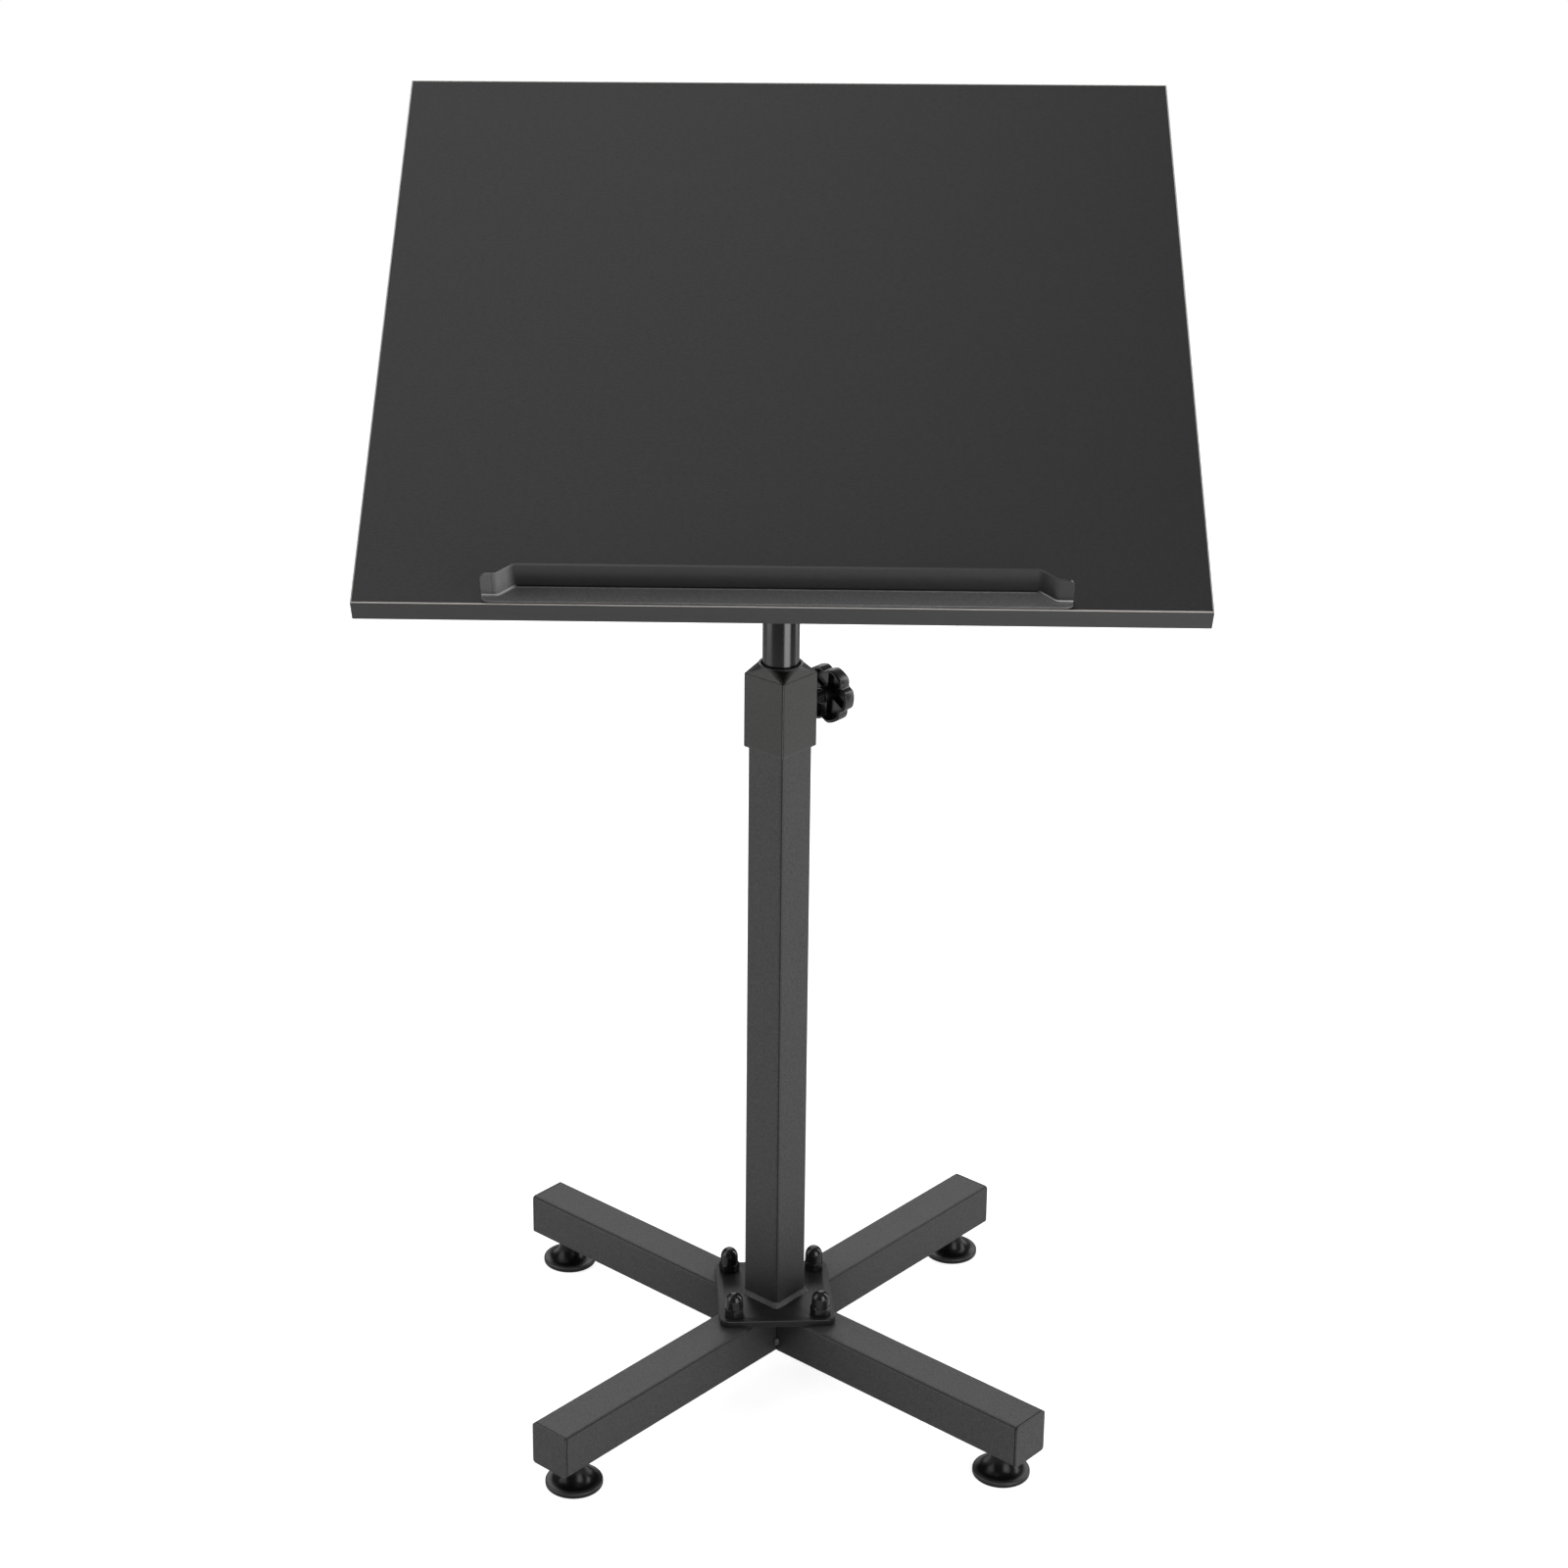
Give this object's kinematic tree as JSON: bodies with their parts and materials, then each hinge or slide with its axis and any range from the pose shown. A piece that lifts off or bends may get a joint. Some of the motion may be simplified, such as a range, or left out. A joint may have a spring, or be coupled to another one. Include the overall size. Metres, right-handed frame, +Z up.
{
  "type": "music stand",
  "caption": "Height-adjustable lectern music stand: tilting board with a book stop on a round mast clamped in a square pole, on a cross base with levelling glides.",
  "frame": {"origin": "on the floor, under the middle of the whole stand's outline", "axes": "+Z up; +Y away from the reader, up the board's slope; +X to the reader's right, along the board's width and the tilt pivot"},
  "size_m": [0.523, 0.4148, 0.9076],
  "materials": {
    "powder_coat": "fine-texture charcoal powder coat on tubes and the book stop",
    "gloss_paint": "gloss black paint",
    "satin_black": "satin black paint on the round tube and the tilt bracket",
    "collar_plastic": "satin charcoal moulded plastic",
    "gloss_plastic": "glossy black moulded plastic",
    "guide_plastic": "natural nylon",
    "zinc_steel": "zinc-plated steel",
    "black_steel": "blackened steel screw",
    "brass": "turned brass",
    "laminate": "black ash laminate on fibreboard, fine grain",
    "edge_band": "dark grey edge band"
  },
  "bodies": {
    "stand": {"base_through_tube": "powder_coat", "base_rear_left_tube": "powder_coat", "base_front_right_tube": "powder_coat", "base_plate": "gloss_paint", "leg_cap_rear_right": "powder_coat", "glide_nut_rear_right": "zinc_steel", "base_bolt_rear_right": "zinc_steel", "acorn_nut_rear_right": "gloss_paint", "leg_cap_rear_left": "powder_coat", "glide_nut_rear_left": "zinc_steel", "base_bolt_rear_left": "zinc_steel", "acorn_nut_rear_left": "gloss_paint", "leg_cap_front_left": "powder_coat", "glide_nut_front_left": "zinc_steel", "base_bolt_front_left": "zinc_steel", "acorn_nut_front_left": "gloss_paint", "leg_cap_front_right": "powder_coat", "glide_nut_front_right": "zinc_steel", "base_bolt_front_right": "zinc_steel", "acorn_nut_front_right": "gloss_paint", "pole": "powder_coat", "guide_bush": "guide_plastic", "collar": "collar_plastic"},
    "clamp_shoe": {"clamp_pad": "brass"},
    "clamp_knob": {"clamp_screw": "black_steel", "clamp_knob": "gloss_plastic"},
    "slider": {"mast_slider": "guide_plastic"},
    "mast": {"mast": "satin_black", "mast_plug": "guide_plastic", "slider_screw": "zinc_steel", "mast_head": "satin_black", "pivot_bolt": "zinc_steel", "pivot_nut": "zinc_steel", "lock_bolt": "zinc_steel"},
    "lock_washer": {"lock_washer": "zinc_steel"},
    "lock_knob": {"lock_knob": "gloss_plastic"},
    "board": {"tilt_bracket": "satin_black", "board": "laminate", "book_stop": "zinc_steel", "edge_band_front": "edge_band", "edge_band_rear": "edge_band", "edge_band_left": "edge_band", "edge_band_right": "edge_band", "bracket_screw_front_left": "zinc_steel", "bracket_screw_front_right": "zinc_steel", "bracket_screw_rear_left": "zinc_steel", "bracket_screw_rear_right": "zinc_steel", "stop_stud_left": "zinc_steel", "stop_nut_left": "zinc_steel", "stop_stud_right": "zinc_steel", "stop_nut_right": "zinc_steel"},
    "foot_rear_right": {"glide_pad_rear_right": "gloss_plastic"},
    "foot_screw_rear_right": {"glide_stud_rear_right": "zinc_steel"},
    "foot_rear_left": {"glide_pad_rear_left": "gloss_plastic"},
    "foot_screw_rear_left": {"glide_stud_rear_left": "zinc_steel"},
    "foot_front_left": {"glide_pad_front_left": "gloss_plastic"},
    "foot_screw_front_left": {"glide_stud_front_left": "zinc_steel"},
    "foot_front_right": {"glide_pad_front_right": "gloss_plastic"},
    "foot_screw_front_right": {"glide_stud_front_right": "zinc_steel"}
  },
  "joints": [
    {"name": "height", "type": "slide", "parent": "stand", "child": "slider", "axis": [0, 0, 1], "range_m": [-0.13, 0.2]},
    {"name": "swivel", "type": "hinge", "parent": "slider", "child": "mast", "pos_m": [0, 0.01575, 0.27095], "axis": [0, 0, 1], "continuous": true},
    {"name": "tilt", "type": "hinge", "parent": "mast", "child": "board", "pos_m": [0, 0.01575, 0.75895], "axis": [1, 0, 0], "range_deg": [-31.5, 28.5]},
    {"name": "clamp_travel", "type": "slide", "parent": "stand", "child": "clamp_shoe", "axis": [0.6508, 0.7593, 0], "range_m": [0, 0.0025]},
    {"name": "clamp_turn", "type": "hinge", "parent": "clamp_shoe", "child": "clamp_knob", "pos_m": [0.00898, 0.02623, 0.51085], "axis": [0.6508, 0.7593, 0], "range_deg": [0, 720]},
    {"name": "lock_travel", "type": "slide", "parent": "mast", "child": "lock_washer", "axis": [1, 0, 0], "range_m": [0, 0.0025]},
    {"name": "lock_turn", "type": "hinge", "parent": "lock_washer", "child": "lock_knob", "pos_m": [0.0023, 0.01575, 0.73095], "axis": [1, 0, 0], "range_deg": [0, 720]},
    {"name": "foot_travel_rear_right", "type": "slide", "parent": "stand", "child": "foot_rear_right", "axis": [0, 0, -1], "range_m": [0, 0.01]},
    {"name": "foot_turn_rear_right", "type": "hinge", "parent": "foot_rear_right", "child": "foot_screw_rear_right", "pos_m": [0.13621, 0.17467, 0.02], "axis": [0, 0, -1], "range_deg": [0, 2880]},
    {"name": "foot_travel_rear_left", "type": "slide", "parent": "stand", "child": "foot_rear_left", "axis": [0, 0, -1], "range_m": [0, 0.01]},
    {"name": "foot_turn_rear_left", "type": "hinge", "parent": "foot_rear_left", "child": "foot_screw_rear_left", "pos_m": [-0.15892, 0.15196, 0.02], "axis": [0, 0, -1], "range_deg": [0, 2880]},
    {"name": "foot_travel_front_left", "type": "slide", "parent": "stand", "child": "foot_front_left", "axis": [0, 0, -1], "range_m": [0, 0.01]},
    {"name": "foot_turn_front_left", "type": "hinge", "parent": "foot_front_left", "child": "foot_screw_front_left", "pos_m": [-0.13621, -0.14316, 0.02], "axis": [0, 0, -1], "range_deg": [0, 2880]},
    {"name": "foot_travel_front_right", "type": "slide", "parent": "stand", "child": "foot_front_right", "axis": [0, 0, -1], "range_m": [0, 0.01]},
    {"name": "foot_turn_front_right", "type": "hinge", "parent": "foot_front_right", "child": "foot_screw_front_right", "pos_m": [0.15892, -0.12045, 0.02], "axis": [0, 0, -1], "range_deg": [0, 2880]}
  ],
  "couplings": [
    {"joint": "clamp_turn", "follows": "clamp_travel", "rad_per_m": 5026.5},
    {"joint": "lock_turn", "follows": "lock_travel", "rad_per_m": 5026.5},
    {"joint": "foot_turn_rear_right", "follows": "foot_travel_rear_right", "rad_per_m": 5026.5},
    {"joint": "foot_turn_rear_left", "follows": "foot_travel_rear_left", "rad_per_m": 5026.5},
    {"joint": "foot_turn_front_left", "follows": "foot_travel_front_left", "rad_per_m": 5026.5},
    {"joint": "foot_turn_front_right", "follows": "foot_travel_front_right", "rad_per_m": 5026.5}
  ]
}
